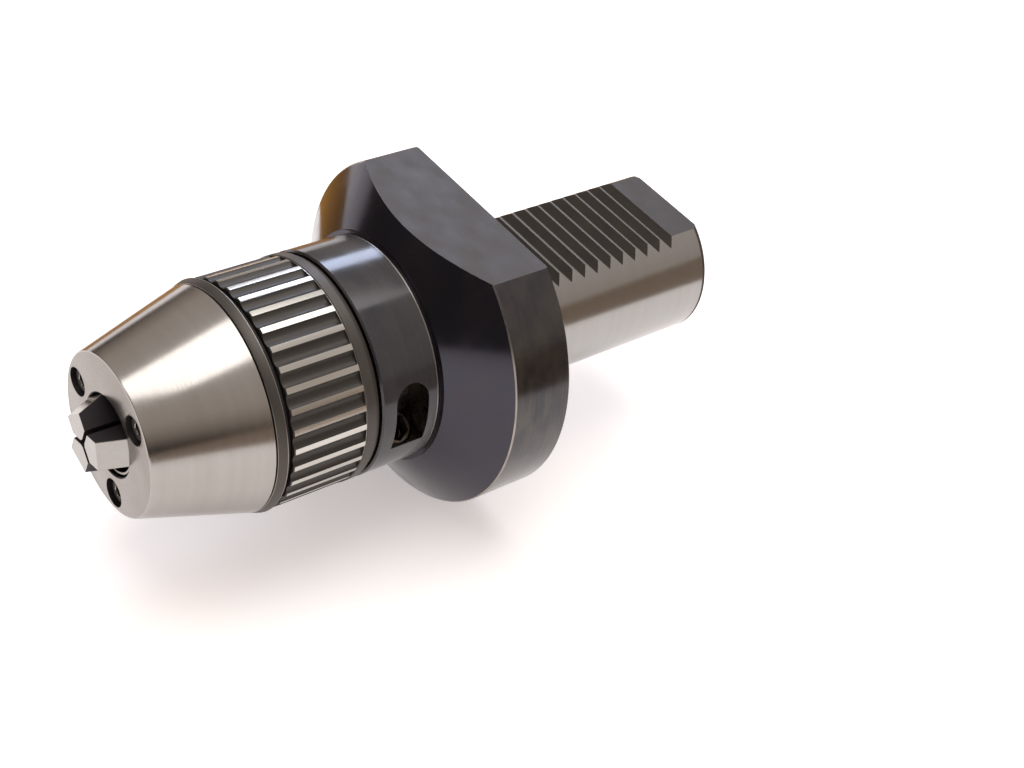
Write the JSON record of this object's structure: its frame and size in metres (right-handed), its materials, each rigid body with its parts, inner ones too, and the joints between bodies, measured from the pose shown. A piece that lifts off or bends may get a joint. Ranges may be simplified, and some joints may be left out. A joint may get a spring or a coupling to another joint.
{
  "type": "drill chuck",
  "caption": "key-operated drill chuck in one piece with a flanged tool-turret shank: bright nose cone with sliding jaws, fluted grip sleeve, side key window and toothed shank flat",
  "frame": {"origin": "on the tool axis, in the plane of the flange's rear face", "axes": "+Y along the tool axis toward the shank end, -Y toward the jaws; +Z out of the flange's and shank's flats; +X toward the side with the key window"},
  "size_m": [0.083, 0.1608, 0.0745],
  "materials": {
    "black_oxide_gloss": "steel, polished and black-oxided; the shank's round surface and flat edges ground bright",
    "black_oxide_satin": "steel, satin black oxide; the sleeve's lands ground bright",
    "ground_steel": "hardened steel, cylindrically ground",
    "jaw_steel": "hardened steel, ground on the outer and tip faces, dark on the sides",
    "hardened_steel": "hardened steel, oiled",
    "spring_steel": "spring steel, phosphated",
    "screw_black": "alloy steel, black oxide",
    "bronze": "bearing bronze, turned",
    "seal_rubber": "moulded nitrile rubber"
  },
  "bodies": {
    "housing": {"holder_body": "black_oxide_gloss", "nose_cone": "ground_steel", "front_ring": "black_oxide_satin", "front_seal": "seal_rubber", "nose_screw_1": "screw_black", "nose_screw_2": "screw_black", "nose_screw_3": "screw_black", "rear_race": "hardened_steel", "worm_washer": "bronze", "worm_plug": "screw_black", "flange_seal": "seal_rubber", "rear_plug": "screw_black"},
    "drive": {"grip_sleeve": "black_oxide_satin", "drive_nut": "hardened_steel", "drive_key": "hardened_steel", "snap_ring": "spring_steel", "front_race": "hardened_steel"},
    "cage": {"ball_cage": "hardened_steel"},
    "worm": {"drive_worm": "hardened_steel"},
    "carrier": {"jaw_carrier": "hardened_steel"},
    "jaw_1": {"jaw_1": "jaw_steel"},
    "jaw_2": {"jaw_2": "jaw_steel"},
    "jaw_3": {"jaw_3": "jaw_steel"}
  },
  "joints": [
    {"name": "nut_turn", "type": "hinge", "parent": "housing", "child": "drive", "pos_m": [0, -0.05, 0], "axis": [0, 1, 0], "range_deg": [0, 351.4]},
    {"name": "worm_turn", "type": "hinge", "parent": "housing", "child": "worm", "pos_m": [0.01693, -0.0326, -0.0112], "axis": [-0.5519, 0, -0.8339], "range_deg": [0, 8434.6]},
    {"name": "cage_turn", "type": "hinge", "parent": "housing", "child": "cage", "pos_m": [0, -0.041, 0], "axis": [0, 1, 0], "range_deg": [0, 176.2]},
    {"name": "carrier_slide", "type": "slide", "parent": "housing", "child": "carrier", "axis": [0, 1, 0], "range_m": [0, 0.0176]},
    {"name": "jaw_1_slide", "type": "slide", "parent": "housing", "child": "jaw_1", "axis": [0.3635, 0.9272, 0.0906], "range_m": [0, 0.01898]},
    {"name": "jaw_2_slide", "type": "slide", "parent": "housing", "child": "jaw_2", "axis": [-0.2602, 0.9272, 0.2695], "range_m": [0, 0.01898]},
    {"name": "jaw_3_slide", "type": "slide", "parent": "housing", "child": "jaw_3", "axis": [-0.1033, 0.9272, -0.3601], "range_m": [0, 0.01898]}
  ],
  "couplings": [
    {"joint": "worm_turn", "follows": "nut_turn", "ratio": 24},
    {"joint": "cage_turn", "follows": "nut_turn", "ratio": 0.5},
    {"joint": "carrier_slide", "follows": "nut_turn", "m_per_rad": 0.0028648},
    {"joint": "jaw_1_slide", "follows": "nut_turn", "m_per_rad": 0.0030898},
    {"joint": "jaw_2_slide", "follows": "nut_turn", "m_per_rad": 0.0030898},
    {"joint": "jaw_3_slide", "follows": "nut_turn", "m_per_rad": 0.0030898}
  ]
}
